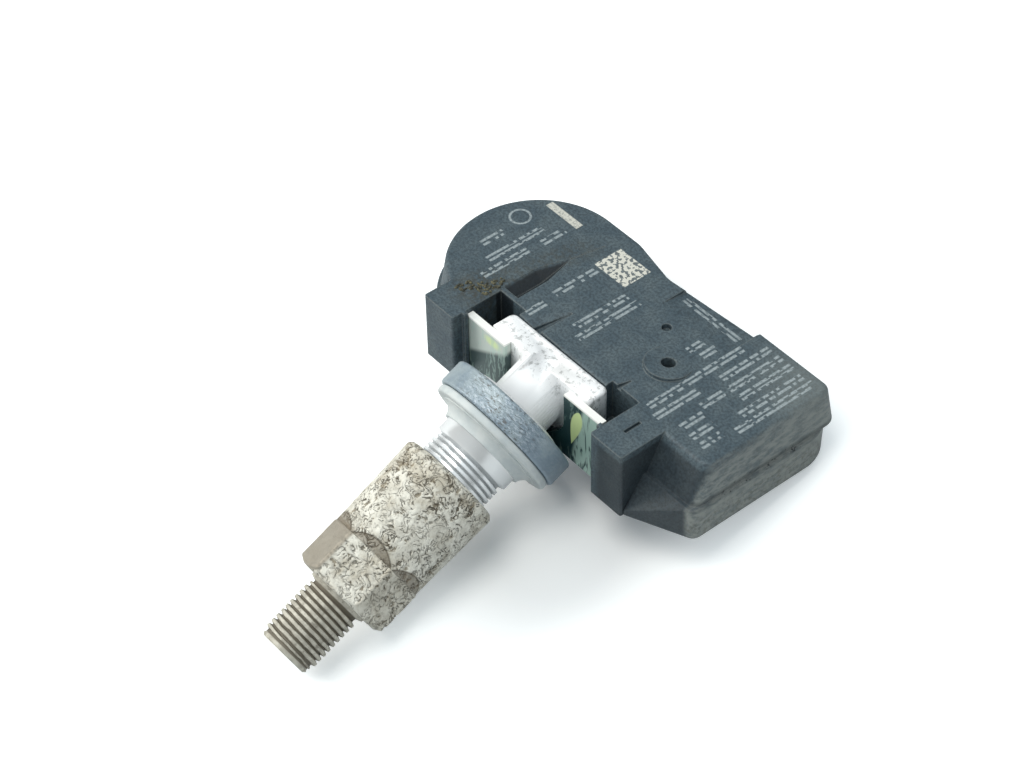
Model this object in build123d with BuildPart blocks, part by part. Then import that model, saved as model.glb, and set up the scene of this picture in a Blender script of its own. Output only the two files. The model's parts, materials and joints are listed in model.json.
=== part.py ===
from build123d import *
import os
from math import asin, atan2, cos, degrees, hypot, radians, sin, sqrt, tan

# Clamp-in tyre pressure sensor: a moulded electronics housing on the foot of a metal valve.
# Sizes are millimetres. The pieces are drawn in the housing's own frame and laid down at the end.
# Housing frame: x along the housing, y away from the valve, z up from the deck.
# Its origin lies on the deck plane, midway between the two arms, level with their fronts.

# Housing, plan at deck level
cell_lobe_radius = 11.75
cell_lobe_x = -14.3
cell_lobe_y = 15.0
shoulder_x = -8.3
waist_x = -1.2
waist_y = 25.2
waist_blend = 5.0
step_x = 13.6
step_inner_y = 26.3
end_x = 26.2
far_y = 27.1
notch_y = 6.8
notch_foot_y = 4.2
upper_corner = 1.4

# Housing, section
deck_to_base = 10.2
deck_to_ledge = 5.0
wall_draft = 9.0
skirt_draft = 2.0
ledge_step = 0.5
ledge_round = 0.3
skirt_far_corner = 6.0
skirt_near_corner = 1.6
skirt_near_y = 4.0
skirt_arm_y = 0.15
skirt_lip_y = 3.7
skirt_slope_end = 9.4
deck_round = 0.6
base_round = 0.6
roof = 1.8
wall = 1.4
cavity_corner = 4.0

# Arms and the bay that takes the valve foot
arm_outer = 18.6
arm_drop = 10.0
arm_round = 0.35
bay_half = 13.0
rib_height = 0.5
rib_width = 0.6
rib_gap = 0.1
arm_slit_x = 15.55
arm_slit_y = 3.2
arm_slit_length = 2.5
arm_slit_width = 0.45
arm_slit_depth = 0.5
side_pocket_depth = 6.0
side_pocket_back = 7.8
seat_clearance = 0.15

# Marks moulded into the deck
trough_x = -13.4
trough_width = 2.9
trough_depth = 1.3
trough_lean = 1.6
trough_bend_y = 13.5
trough_end_x = -11.9
trough_end_y = 18.2
trough_tail_x = -10.9
trough_tail_y = 23.0
trough_tail_width = 0.25
trough_tail_depth = 0.12
pocket_rib = 0.7
scoop_depth = 1.2
scoop_end_width = 0.2
scoop_end_depth = 0.15
long_scoop_x = -5.75
long_scoop_width = 1.7
long_scoop_y = 11.8
short_scoop_x = 8.4
short_scoop_width = 1.2
short_scoop_y = 9.5
dish_width = 2.8
dish_depth = 0.45
far_strip_y = 21.4
far_strip_drop = 0.9
far_strip_start_x = 1.8
port_x = 10.3
port_y = 14.9
port_radius = 0.95
port_boss_radius = 3.1
port_boss_lean = 7.0
port_boss_lift = 0.2
dimple_x = 5.4
dimple_y = 19.0
dimple_radius = 0.65
dimple_depth = 0.8

# Lid and electronics
lid = 1.2
lid_rebate = 0.7
lid_gap = 0.1
lid_recess = 0.2
post_radius = 1.3
post_inner_x = 4.0
post_outer_x = 22.0
post_near_y = 11.5
post_far_y = 21.5
board = 1.0
board_gap = 0.3
board_top_z = -5.9
cell_x = -15.8
cell_y = 16.8
cell_radius = 8.0
cell_height = 3.2
cell_gap = 0.4
cell_cap_radius = 7.0
cell_cap_step = 0.35
tab = 0.2
tab_width = 4.0
tab_offset = 3.2
tab_reach = 1.0
chip = 6.0
chip_height = 1.6
chip_corner = 0.5
chip_port_radius = 0.8
seal_radius = 2.4
coil_x = 19.8
coil_y = 16.5
coil_length = 9.0
coil_size = 2.6
coil_neck = 1.6
coil_end = 1.2
winding_gap = 0.1
winding_corner = 0.4
strip = 0.4
strip_height = 1.6
antenna_inset = 1.2
crystal_length = 3.2
crystal_width = 2.5
crystal_height = 0.9
crystal_corner = 0.5
crystal_x = 3.4
crystal_y = 13.2
capacitor_length = 1.6
capacitor_width = 0.8
capacitor_height = 0.8
capacitor_pitch = 2.2
capacitor_count = 5

# Valve stem, s runs along its axis, outward from the plane of the arm fronts
valve_tilt = 25.0
stem_axis_z = -5.7
neck_radius = 4.2
neck_inner_s = -5.4
shoulder_radius = 6.2
shoulder_width = 0.55
ring_back_s = 0.9
ring_width = 3.5
stem_radius = 5.5
plain_end_s = 8.6
thread_radius = 5.15
thread_end_s = 27.5
collar_radius = 4.2
tip_start_s = 32.2
tip_radius = 3.85
tip_s = 41.5
tip_chamfer = 0.6
relief = 0.3

# Foot block of the stem
foot_half = 9.0
foot_front_y = 3.25
foot_back_y = 6.6
foot_height = 9.4
foot_round = 0.9
foot_top_round = 0.45
foot_slot_x = 0.3
foot_slot_y = 4.1
foot_slot_radius = 1.65
foot_slot_depth = 0.9

# Retaining plate
plate_left_gap = 0.1
plate_right_gap = 0.7
plate_front_y = 2.2
plate = 1.0
plate_top_z = -0.6
plate_bottom_z = -10.9
plate_slot_half = 5.6
plate_slot_floor_z = -9.7
plate_corner = 0.5

# Ring and grommet
ring_radius = 9.25
ring_bore_gap = 0.1
ring_round = 0.35
grommet_gap = 0.03
lip_radius = 8.85
lip_width = 1.1
lip_step_radius = 7.5
lip_step = 0.15
lip_round = 0.36
grommet_neck_wall = 0.4
grommet_end_s = 7.0

# Collar nut
nut_start_s = 12.1
nut_hex_s = 25.4
nut_end_s = 31.9
sleeve_start_radius = 6.95
sleeve_end_radius = 6.65
sleeve_chamfer = 0.5
hex_flats = 12.0
hex_turn = 36.2
hex_chamfer = 0.2
hex_chamfer_slope = 30.0
nut_thread_gap = 0.07

# Valve core
air_bore = 1.6
seat_s = 20.0
barrel_bore = 2.15
barrel_end_s = 33.0
mouth_bore = 2.6
core_gap = 0.08
core_start_s = 24.0
core_head_end_s = 40.0
core_tube_radius = 1.9
core_floor = 1.0
pin_radius = 0.75
pin_gap = 0.1
pin_recess = 0.5
pin_travel = 1.2
spring_chamber = 1.45
pin_collar_radius = 1.3
pin_collar_width = 0.5
cup_width = 1.3
cup_radius = 1.85
cup_slope = 0.4
cup_gap = 0.05
barrel_seal_width = 2.0
spring_wire = 0.32
spring_turns = 7

# Values worked out from the sizes above
ledge_growth = deck_to_ledge * tan(radians(wall_draft)) + ledge_step
skirt_shrink = (deck_to_base - deck_to_ledge) * tan(radians(skirt_draft))
lobe_far_y = cell_lobe_y + cell_lobe_radius
seat_back_y = foot_back_y + seat_clearance
seat_half = foot_half + seat_clearance
seat_floor_z = -foot_height - seat_clearance / 2
through_y = foot_front_y + seat_clearance
cavity_top_z = -roof
lid_top_z = -deck_to_base + lid_recess + lid
chip_top_z = board_top_z + chip_height
cell_top_z = cavity_top_z - tab
ring_front_s = ring_back_s + ring_width
pin_tail_s = seat_s + pin_travel + relief
post_rows = [(x, y) for x in (post_inner_x, post_outer_x) for y in (post_near_y, post_far_y)]
post_places = [(cell_x, cell_y)] + post_rows
arm_back_y = notch_y + wall
plate_left_x = plate_left_gap - bay_half
plate_right_x = bay_half - plate_right_gap
clear = 1.0

tilt = radians(valve_tilt)
stem_origin = Vector(0, 0, stem_axis_z)
stem_direction = Vector(0, -cos(tilt), -sin(tilt))
stem_axis = Axis(stem_origin, stem_direction)
stem_section = Plane(origin=stem_origin, x_dir=(1, 0, 0), z_dir=(0, sin(tilt), -cos(tilt)))


def stem_plane(s):
    """Plane across the stem at a distance s along its axis, facing outward."""
    return Plane(origin=stem_origin + stem_direction * s, x_dir=(1, 0, 0), z_dir=stem_direction)


def lobe_crossing(radius, y):
    """x where the cell lobe's circle of a given radius meets a line of constant y."""
    return cell_lobe_x + sqrt(radius**2 - (y - cell_lobe_y) ** 2)


def body_plan(level, growth, near_points, near_y, rounds):
    """Plan of the housing body, grown outward, with its own points and corner radii."""
    radius = cell_lobe_radius + growth
    start = (lobe_crossing(radius, near_y), near_y)
    left = (cell_lobe_x - radius, cell_lobe_y)
    far_lobe = (cell_lobe_x, lobe_far_y + growth)
    with BuildSketch(Plane.XY.offset(level)) as plan:
        with BuildLine():
            ThreePointArc(start, left, far_lobe)
            Polyline(
                far_lobe,
                (shoulder_x, lobe_far_y + growth),
                (waist_x, waist_y + growth),
                (step_x - ledge_step, step_inner_y + growth),
                (step_x, far_y + growth),
                (end_x + growth, far_y + growth),
                *near_points,
                start,
            )
        make_face()
        for place, corner_radius in rounds:
            fillet(plan.vertices().sort_by_distance(place)[0], corner_radius)
        fillet(plan.vertices().sort_by_distance((waist_x, waist_y + growth))[0], waist_blend)
        fillet(plan.vertices().sort_by_distance((shoulder_x, lobe_far_y + growth))[0], waist_blend)
    return plan.sketch


def cavity_plan(level, growth):
    """Plan of the hollow for the cell and the board, grown outward."""
    near_y = side_pocket_back + wall
    right = end_x - wall + growth
    with BuildSketch(Plane.XY.offset(level)) as plan:
        with Locations((cell_x, cell_y)):
            Circle(cell_radius + cell_gap + growth)
        with Locations((cell_x, near_y - growth)):
            Rectangle(
                right - cell_x,
                waist_y - wall - near_y + 2 * growth,
                align=(Align.MIN, Align.MIN),
            )
        with Locations((arm_outer - growth, notch_y + wall - growth)):
            Rectangle(
                right - arm_outer + growth,
                far_y - notch_y - 2 * wall + 2 * growth,
                align=(Align.MIN, Align.MIN),
            )
        far_corner = (right, far_y - wall + growth)
        corner_radius = min(cavity_corner, end_x - 2 * wall - arm_outer) + growth
        fillet(plan.vertices().sort_by_distance(far_corner)[0], corner_radius)
    return plan.sketch


skirt_end = end_x + ledge_growth
skirt_far = far_y + ledge_growth
skirt_inner_y = through_y
upper_plan = body_plan(
    0,
    0,
    [(end_x, notch_foot_y)],
    notch_foot_y,
    [((end_x, far_y), upper_corner)],
)
skirt_plan = body_plan(
    -deck_to_ledge,
    ledge_growth,
    [(skirt_end, skirt_near_y), (arm_outer, skirt_arm_y), (arm_outer, skirt_inner_y)],
    skirt_inner_y,
    [((skirt_end, skirt_far), skirt_far_corner), ((skirt_end, skirt_near_y), skirt_near_corner)],
)
cavity = cavity_plan(-deck_to_base, 0)
rebate = cavity_plan(-deck_to_base, lid_rebate)
lid_outline = cavity_plan(lid_top_z, lid_rebate - lid_gap)
board_outline = cavity_plan(board_top_z, -board_gap)

# Upper body: drafted walls, with a flatter slope down into the notch beside the arm
notch_corner = (end_x + ledge_growth / 2, (notch_y + notch_foot_y) / 2, -deck_to_ledge / 2)
with BuildPart() as upper_body:
    extrude(upper_plan, amount=-deck_to_ledge, taper=-wall_draft)
    with BuildSketch(Plane.YZ):
        with BuildLine():
            Polyline(
                (notch_foot_y, -deck_to_ledge),
                (notch_y, 0),
                (notch_y, clear),
                (-clear, clear),
                (-clear, -deck_to_ledge),
                close=True,
            )
        make_face()
    extrude(amount=skirt_end + clear, mode=Mode.SUBTRACT)
    fillet(upper_body.edges().sort_by_distance(notch_corner)[0], upper_corner)
    fillet(upper_body.faces().sort_by(Axis.Z)[-1].outer_wire().edges(), deck_round)

# Housing: skirt below the ledge, the upper body, arms, then everything cut into them
with BuildPart() as housing:
    extrude(skirt_plan, amount=-(deck_to_base - deck_to_ledge), taper=skirt_draft)
    bay_corner = (arm_outer, skirt_inner_y, -deck_to_ledge)
    fillet(housing.edges().group_by(Axis.Z)[-1].sort_by_distance(bay_corner)[2:], ledge_round)
    fillet(housing.edges().group_by(Axis.Z)[0], base_round)

    with BuildSketch(Plane.YZ.offset(arm_outer)):
        with BuildLine():
            Polyline(
                (skirt_lip_y, -deck_to_ledge),
                (skirt_arm_y, -skirt_slope_end),
                (-clear, -skirt_slope_end),
                (-clear, -deck_to_ledge),
                close=True,
            )
        make_face()
    extrude(amount=skirt_end - arm_outer + clear, mode=Mode.SUBTRACT)
    add(upper_body.part)

    with BuildSketch(Plane.XY):
        for side in (-1, 1):
            with Locations((side * (bay_half + arm_outer) / 2, arm_back_y / 2)):
                Rectangle(arm_outer - bay_half, arm_back_y)
    extrude(amount=-arm_drop)

    # Bay for the plate, seat of the foot block, and a dark pocket on each side of it
    with BuildSketch(Plane.XY.offset(clear)):
        with Locations((0, -clear)):
            Rectangle(2 * bay_half, through_y + clear, align=(Align.CENTER, Align.MIN))
    extrude(amount=-(deck_to_base + 2 * clear), mode=Mode.SUBTRACT)
    with BuildSketch(Plane.XY.offset(clear)):
        with Locations((0, 0)):
            Rectangle(2 * seat_half, seat_back_y, align=(Align.CENTER, Align.MIN))
    extrude(amount=seat_floor_z - clear, mode=Mode.SUBTRACT)
    with BuildSketch(Plane.XY.offset(clear)):
        for side in (-1, 1):
            with Locations((side * (bay_half + seat_half - clear) / 2, 0)):
                Rectangle(
                    bay_half - seat_half + clear,
                    side_pocket_back,
                    align=(Align.CENTER, Align.MIN),
                )
    extrude(amount=-(side_pocket_depth + clear), mode=Mode.SUBTRACT)
    fillet(
        housing.edges().filter_by(Axis.Z).group_by(Axis.Y)[0].group_by(SortBy.LENGTH)[-1],
        arm_round,
    )

    # Upright ribs inside the arms that the plate bears against
    with BuildSketch(Plane.XY):
        for side in (-1, 1):
            with Locations((side * (bay_half - rib_height / 2), plate_front_y - rib_gap - rib_width / 2)):
                Rectangle(rib_height, rib_width)
    extrude(amount=-arm_drop)

    with BuildSketch(Plane.XY.offset(clear)):
        with Locations((arm_slit_x, arm_slit_y)):
            Rectangle(arm_slit_width, arm_slit_length, align=(Align.CENTER, Align.MIN))
    extrude(amount=-(arm_slit_depth + clear), mode=Mode.SUBTRACT)

    # Trough beside the cell lobe: one wall leans, and a narrow tail fades out to the far edge
    trough_right = trough_x + trough_width
    tail_lean = trough_tail_width / 2
    for y, left, right, lean, depth in (
        (side_pocket_back + pocket_rib, trough_x, trough_right, trough_lean, trough_depth),
        (trough_bend_y, trough_x, trough_right, trough_lean, trough_depth),
        (trough_end_y, trough_end_x, trough_end_x + trough_tail_width, tail_lean, trough_tail_depth),
        (trough_tail_y, trough_tail_x, trough_tail_x + trough_tail_width, tail_lean, trough_tail_depth),
    ):
        with BuildSketch(Plane.XZ.offset(-y)):
            with BuildLine():
                Polyline(
                    (left, clear),
                    (left, 0),
                    (left + lean, -depth),
                    (right, 0),
                    (right, clear),
                    close=True,
                )
            make_face()
    loft(ruled=True, mode=Mode.SUBTRACT)

    # Scoops behind the foot block, a long one with a shallow dish beside it, and a short one
    for left, width, end_y in (
        (long_scoop_x, long_scoop_width, long_scoop_y),
        (short_scoop_x, short_scoop_width, short_scoop_y),
    ):
        with BuildSketch(Plane.XZ.offset(clear - seat_back_y)):
            with Locations((left, 0)):
                Rectangle(width, 2 * scoop_depth, align=(Align.MIN, Align.CENTER))
        with BuildSketch(Plane.XZ.offset(-end_y)):
            with Locations((left + width, 0)):
                Rectangle(scoop_end_width, 2 * scoop_end_depth)
        loft(ruled=True, mode=Mode.SUBTRACT)
    scoop_end_x = long_scoop_x + long_scoop_width
    for y, left, right, depth in (
        (seat_back_y - clear, long_scoop_x - dish_width, long_scoop_x, dish_depth),
        (long_scoop_y, scoop_end_x - scoop_end_width, scoop_end_x, scoop_end_depth),
    ):
        with BuildSketch(Plane.XZ.offset(-y)):
            with BuildLine():
                Polyline((left, clear), (left, 0), (right, -depth), (right, clear), close=True)
            make_face()
    loft(ruled=True, mode=Mode.SUBTRACT)

    # Strip along the far edge that falls away from the deck
    with BuildSketch(Plane.YZ.offset(far_strip_start_x)):
        with BuildLine():
            Polyline(
                (far_strip_y, 0),
                (far_y + clear, -far_strip_drop),
                (far_y + clear, clear),
                (far_strip_y, clear),
                close=True,
            )
        make_face()
    extrude(amount=step_x - far_strip_start_x, mode=Mode.SUBTRACT)

    # Pressure port with its leaning boss, and a small dimple
    lean = radians(port_boss_lean)
    with BuildSketch(Plane(origin=(port_x, port_y, port_boss_lift), z_dir=(0, sin(lean), cos(lean)))):
        Circle(port_boss_radius)
    extrude(amount=-roof / 2)
    with BuildSketch(Plane.XY.offset(clear)):
        with Locations((port_x, port_y)):
            Circle(port_radius)
    extrude(amount=-(roof + 2 * clear), mode=Mode.SUBTRACT)
    with BuildSketch(Plane.XY.offset(clear)):
        with Locations((dimple_x, dimple_y)):
            Circle(dimple_radius)
    extrude(amount=-(dimple_depth + clear), mode=Mode.SUBTRACT)

    # Hollow for the electronics, with a rebate for the lid
    extrude(cavity, amount=deck_to_base - roof, mode=Mode.SUBTRACT)
    extrude(rebate, amount=lid_recess + lid, mode=Mode.SUBTRACT)
housing.part.label = "housing"

# Lid, welded into the rebate, with posts that carry the board
with BuildPart() as base_cover:
    extrude(lid_outline, amount=-lid)
    with BuildSketch(Plane.XY.offset(lid_top_z)):
        with Locations(*post_places):
            Circle(post_radius)
    extrude(amount=board_top_z - board - lid_top_z)
base_cover.part.label = "base_cover"

with BuildPart() as circuit_board:
    extrude(board_outline, amount=-board)
circuit_board.part.label = "circuit_board"

# Coin cell, its can open downward round a smaller cap
with BuildPart() as battery_cell:
    with BuildSketch(Plane.XZ.offset(-cell_y)):
        with BuildLine():
            Polyline(
                (cell_x, cell_top_z),
                (cell_x + cell_radius, cell_top_z),
                (cell_x + cell_radius, cell_top_z - cell_height + cell_cap_step),
                (cell_x + cell_cap_radius, cell_top_z - cell_height + cell_cap_step),
                (cell_x + cell_cap_radius, cell_top_z - cell_height),
                (cell_x, cell_top_z - cell_height),
                close=True,
            )
        make_face()
    revolve(axis=Axis((cell_x, cell_y, 0), (0, 0, 1)))
    fillet(battery_cell.edges().group_by(Axis.Z)[-1], cell_cap_step)
battery_cell.part.label = "battery_cell"


def tab_section(y, inner_x, outer_x, top_z):
    """Side view of a flat tab that bends down to the board, on a plane of constant y."""
    with BuildSketch(Plane.XZ.offset(-y)) as section:
        with BuildLine():
            Polyline(
                (inner_x, top_z),
                (outer_x, top_z),
                (outer_x, board_top_z),
                (outer_x - tab, board_top_z),
                (outer_x - tab, top_z - tab),
                (inner_x, top_z - tab),
                close=True,
            )
        make_face()
    return section.sketch


tab_inner_x = cell_x + cell_radius / 2
tab_outer_x = cell_x + cell_radius + tab_reach
positive_tab = tab_section(cell_y - tab_offset, tab_inner_x, tab_outer_x, cavity_top_z)
negative_tab = tab_section(cell_y + tab_offset, tab_inner_x, tab_outer_x, cell_top_z - cell_height)

with BuildPart() as battery_tab_positive:
    extrude(positive_tab, amount=tab_width / 2, both=True)
battery_tab_positive.part.label = "battery_tab_positive"

with BuildPart() as battery_tab_negative:
    extrude(negative_tab, amount=tab_width / 2, both=True)
battery_tab_negative.part.label = "battery_tab_negative"

# Pressure chip under the port, and the ring that seals it to the roof
with BuildPart() as sensor_chip:
    with BuildSketch(Plane.XY.offset(board_top_z)):
        with Locations((port_x, port_y)):
            RectangleRounded(chip, chip, chip_corner)
    extrude(amount=chip_height)
    with BuildSketch(Plane.XY.offset(chip_top_z)):
        with Locations((port_x, port_y)):
            Circle(chip_port_radius)
    extrude(amount=-chip_height / 2, mode=Mode.SUBTRACT)
sensor_chip.part.label = "sensor_chip"

with BuildPart() as port_seal:
    with BuildSketch(Plane.XY.offset(chip_top_z)):
        with Locations((port_x, port_y)):
            Circle(seal_radius)
            Circle(port_radius, mode=Mode.SUBTRACT)
    extrude(amount=cavity_top_z - chip_top_z)
port_seal.part.label = "port_seal"

# Wake-up coil: a ferrite bar with square ends, and the winding round its neck
coil_z = board_top_z + coil_size / 2
with BuildPart() as wake_coil_core:
    with BuildSketch(Plane.XZ.offset(-(coil_y - coil_length / 2))):
        with Locations((coil_x, coil_z)):
            Rectangle(coil_size, coil_size)
    extrude(amount=-coil_length)
    with BuildSketch(Plane.XZ.offset(-(coil_y - coil_length / 2 + coil_end))):
        with Locations((coil_x, coil_z)):
            Rectangle(coil_size + clear, coil_size + clear)
            Rectangle(coil_neck, coil_neck, mode=Mode.SUBTRACT)
    extrude(amount=-(coil_length - 2 * coil_end), mode=Mode.SUBTRACT)
wake_coil_core.part.label = "wake_coil_core"

with BuildPart() as wake_coil_winding:
    with BuildSketch(Plane.XZ.offset(-(coil_y - coil_length / 2 + coil_end + winding_gap))):
        with Locations((coil_x, coil_z)):
            RectangleRounded(coil_size - winding_gap, coil_size - winding_gap, winding_corner)
            Rectangle(coil_neck + winding_gap, coil_neck + winding_gap, mode=Mode.SUBTRACT)
    extrude(amount=-(coil_length - 2 * coil_end - 2 * winding_gap))
wake_coil_winding.part.label = "wake_coil_winding"

# Radio antenna: a strip on edge round three sides of the square lobe
antenna_right = end_x - wall - antenna_inset
antenna_far = waist_y - wall - antenna_inset
antenna_near = side_pocket_back + wall + antenna_inset
with BuildPart() as radio_antenna:
    with BuildSketch(Plane.XY.offset(board_top_z)):
        with BuildLine():
            FilletPolyline(
                (step_x, antenna_far),
                (antenna_right, antenna_far),
                (antenna_right, antenna_near),
                (step_x, antenna_near),
                radius=antenna_inset,
            )
        trace(line_width=strip)
    extrude(amount=strip_height)
radio_antenna.part.label = "radio_antenna"

with BuildPart() as crystal:
    with BuildSketch(Plane.XY.offset(board_top_z)):
        with Locations((crystal_x, crystal_y)):
            RectangleRounded(crystal_length, crystal_width, crystal_corner)
    extrude(amount=crystal_height)
crystal.part.label = "crystal"

with BuildPart() as board_capacitors:
    with BuildSketch(Plane.XY.offset(board_top_z)):
        with Locations((crystal_x, dimple_y + capacitor_pitch)):
            with GridLocations(capacitor_pitch, capacitor_pitch, capacitor_count, 1):
                Rectangle(capacitor_width, capacitor_length)
    extrude(amount=capacitor_height)
board_capacitors.part.label = "board_capacitors"


def turned(points):
    """Half section of a turned piece, as radius and distance along the stem."""
    with BuildSketch(stem_section) as section:
        with BuildLine():
            Polyline(*points, close=True)
        make_face()
    return section.sketch


# Valve stem: turned neck, shoulder, threads and tip, with the milled foot block on its inner end
stem_outline = turned([
    (0, neck_inner_s),
    (neck_radius, neck_inner_s),
    (neck_radius, ring_back_s - shoulder_width),
    (shoulder_radius, ring_back_s - shoulder_width),
    (shoulder_radius, ring_back_s),
    (stem_radius, ring_back_s),
    (stem_radius, plain_end_s),
    (thread_radius, plain_end_s + relief),
    (thread_radius, thread_end_s),
    (collar_radius, thread_end_s + clear),
    (collar_radius, tip_start_s),
    (tip_radius, tip_start_s + relief),
    (tip_radius, tip_s - tip_chamfer),
    (tip_radius - tip_chamfer, tip_s),
    (0, tip_s),
])
stem_bore = turned([
    (0, neck_inner_s - foot_back_y),
    (air_bore, neck_inner_s - foot_back_y),
    (air_bore, seat_s),
    (barrel_bore, seat_s + barrel_bore - air_bore),
    (barrel_bore, barrel_end_s),
    (mouth_bore, barrel_end_s + mouth_bore - barrel_bore),
    (mouth_bore, tip_s + clear),
    (0, tip_s + clear),
])
with BuildPart() as valve_stem:
    with BuildSketch(Plane.XY):
        with Locations((0, foot_front_y)):
            Rectangle(2 * foot_half, foot_back_y - foot_front_y, align=(Align.CENTER, Align.MIN))
    extrude(amount=-foot_height)
    fillet(valve_stem.edges().filter_by(Axis.Z).group_by(Axis.Y)[-1], foot_round)
    fillet(valve_stem.faces().sort_by(Axis.Z)[-1].edges().group_by(Axis.Y)[-1], foot_top_round)
    revolve(stem_outline, axis=stem_axis)
    revolve(stem_bore, axis=stem_axis, mode=Mode.SUBTRACT)
    # Round-ended slot in the top of the foot block, open towards the neck
    with BuildSketch(Plane.XY.offset(clear)):
        with Locations((foot_slot_x, foot_slot_y)):
            Circle(foot_slot_radius)
            Rectangle(2 * foot_slot_radius, foot_slot_y, align=(Align.CENTER, Align.MAX))
    extrude(amount=-(foot_slot_depth + clear), mode=Mode.SUBTRACT)
valve_stem.part.label = "valve_stem"

# Retaining plate: a steel fork, open at the top, that straddles the neck
with BuildPart() as retaining_plate:
    with BuildSketch(Plane.XZ.offset(-plate_front_y)):
        with BuildLine():
            Polyline(
                (-plate_slot_half, plate_top_z),
                (plate_left_x, plate_top_z),
                (plate_left_x, plate_bottom_z),
                (plate_right_x, plate_bottom_z),
                (plate_right_x, plate_top_z),
                (plate_slot_half, plate_top_z),
                (plate_slot_half, stem_axis_z),
            )
            ThreePointArc(
                (plate_slot_half, stem_axis_z),
                (0, plate_slot_floor_z),
                (-plate_slot_half, stem_axis_z),
            )
            Line((-plate_slot_half, stem_axis_z), (-plate_slot_half, plate_top_z))
        make_face()
    extrude(amount=-plate)
    fillet(retaining_plate.edges().filter_by(Axis.Y).group_by(Axis.Z)[0], plate_corner)
retaining_plate.part.label = "retaining_plate"

# Backing ring and the rubber grommet in front of it
with BuildPart() as collar_ring:
    revolve(
        turned([
            (stem_radius + ring_bore_gap, ring_back_s),
            (ring_radius, ring_back_s),
            (ring_radius, ring_front_s),
            (stem_radius + ring_bore_gap, ring_front_s),
        ]),
        axis=stem_axis,
    )
    fillet(collar_ring.edges().filter_by(GeomType.CIRCLE).sort_by(SortBy.RADIUS)[-2:], ring_round)
collar_ring.part.label = "collar_ring"

grommet_bore = stem_radius + grommet_gap
grommet_back_s = ring_front_s + grommet_gap
lip_front_s = grommet_back_s + lip_width
with BuildSketch(stem_section) as grommet_section:
    with BuildLine():
        Polyline(
            (grommet_bore, grommet_end_s),
            (grommet_bore, grommet_back_s),
            (lip_radius, grommet_back_s),
            (lip_radius, lip_front_s),
            (lip_step_radius, lip_front_s),
            (lip_step_radius, lip_front_s + lip_step),
        )
        TangentArc(
            (lip_step_radius, lip_front_s + lip_step),
            (grommet_bore + grommet_neck_wall, grommet_end_s),
            tangent=(-1, 0),
        )
        Line((grommet_bore + grommet_neck_wall, grommet_end_s), (grommet_bore, grommet_end_s))
    make_face()
with BuildPart() as sealing_grommet:
    revolve(grommet_section.sketch, axis=stem_axis)
    fillet(sealing_grommet.edges().filter_by(GeomType.CIRCLE).sort_by(SortBy.RADIUS)[-2:], lip_round)
sealing_grommet.part.label = "sealing_grommet"

# Collar nut: round sleeve whose end is milled to a hexagon
hex_radius = hex_flats / sqrt(3)
nut_bore = thread_radius + nut_thread_gap
nut_throat = collar_radius + nut_thread_gap
hex_chamfer_drop = (hex_flats / 2 + hex_chamfer) * tan(radians(hex_chamfer_slope))
with BuildPart() as collar_nut:
    revolve(
        turned([
            (0, nut_start_s),
            (sleeve_start_radius - sleeve_chamfer, nut_start_s),
            (sleeve_start_radius, nut_start_s + sleeve_chamfer),
            (sleeve_end_radius, nut_hex_s),
            (0, nut_hex_s),
        ]),
        axis=stem_axis,
    )
    with BuildSketch(stem_plane(nut_hex_s)):
        RegularPolygon(hex_flats / 2, 6, major_radius=False, rotation=hex_turn)
    extrude(amount=nut_end_s - nut_hex_s)
    revolve(
        turned([
            (hex_flats / 2 - hex_chamfer, nut_end_s),
            (hex_flats, nut_end_s),
            (hex_flats, nut_end_s - hex_chamfer_drop),
        ]),
        axis=stem_axis,
        mode=Mode.SUBTRACT,
    )
    revolve(
        turned([
            (0, nut_start_s - clear),
            (nut_bore, nut_start_s - clear),
            (nut_bore, thread_end_s + clear),
            (nut_throat, thread_end_s + 2 * clear),
            (nut_throat, nut_end_s + clear),
            (0, nut_end_s + clear),
        ]),
        axis=stem_axis,
        mode=Mode.SUBTRACT,
    )
collar_nut.part.label = "collar_nut"

# Valve core: plug, seal, spring, and the pin with its cup
core_bore = pin_radius + pin_gap
chamber_start_s = core_start_s + core_floor
pin_collar_s = barrel_end_s - pin_collar_width - relief
with BuildPart() as valve_core_body:
    revolve(
        turned([
            (core_bore, core_start_s),
            (core_tube_radius, core_start_s),
            (core_tube_radius, barrel_end_s),
            (mouth_bore - core_gap, barrel_end_s + mouth_bore - barrel_bore + relief),
            (mouth_bore - core_gap, core_head_end_s),
            (core_bore, core_head_end_s),
            (core_bore, barrel_end_s),
            (spring_chamber, barrel_end_s),
            (spring_chamber, chamber_start_s),
            (core_bore, chamber_start_s),
        ]),
        axis=stem_axis,
    )
valve_core_body.part.label = "valve_core_body"

barrel_seal_s = (core_start_s + barrel_end_s) / 2
with BuildPart() as core_barrel_seal:
    revolve(
        turned([
            (core_tube_radius + grommet_gap, barrel_seal_s - barrel_seal_width / 2),
            (barrel_bore - grommet_gap, barrel_seal_s - barrel_seal_width / 2),
            (barrel_bore - grommet_gap, barrel_seal_s + barrel_seal_width / 2),
            (core_tube_radius + grommet_gap, barrel_seal_s + barrel_seal_width / 2),
        ]),
        axis=stem_axis,
    )
core_barrel_seal.part.label = "core_barrel_seal"

cup_front_s = core_start_s - cup_gap
with BuildPart() as core_pin:
    revolve(
        turned([
            (0, pin_tail_s),
            (pin_radius, pin_tail_s),
            (pin_radius, pin_collar_s),
            (pin_collar_radius, pin_collar_s),
            (pin_collar_radius, pin_collar_s + pin_collar_width),
            (pin_radius, pin_collar_s + pin_collar_width),
            (pin_radius, tip_s - pin_recess),
            (0, tip_s - pin_recess),
        ]),
        axis=stem_axis,
    )
core_pin.part.label = "core_pin"

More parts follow.
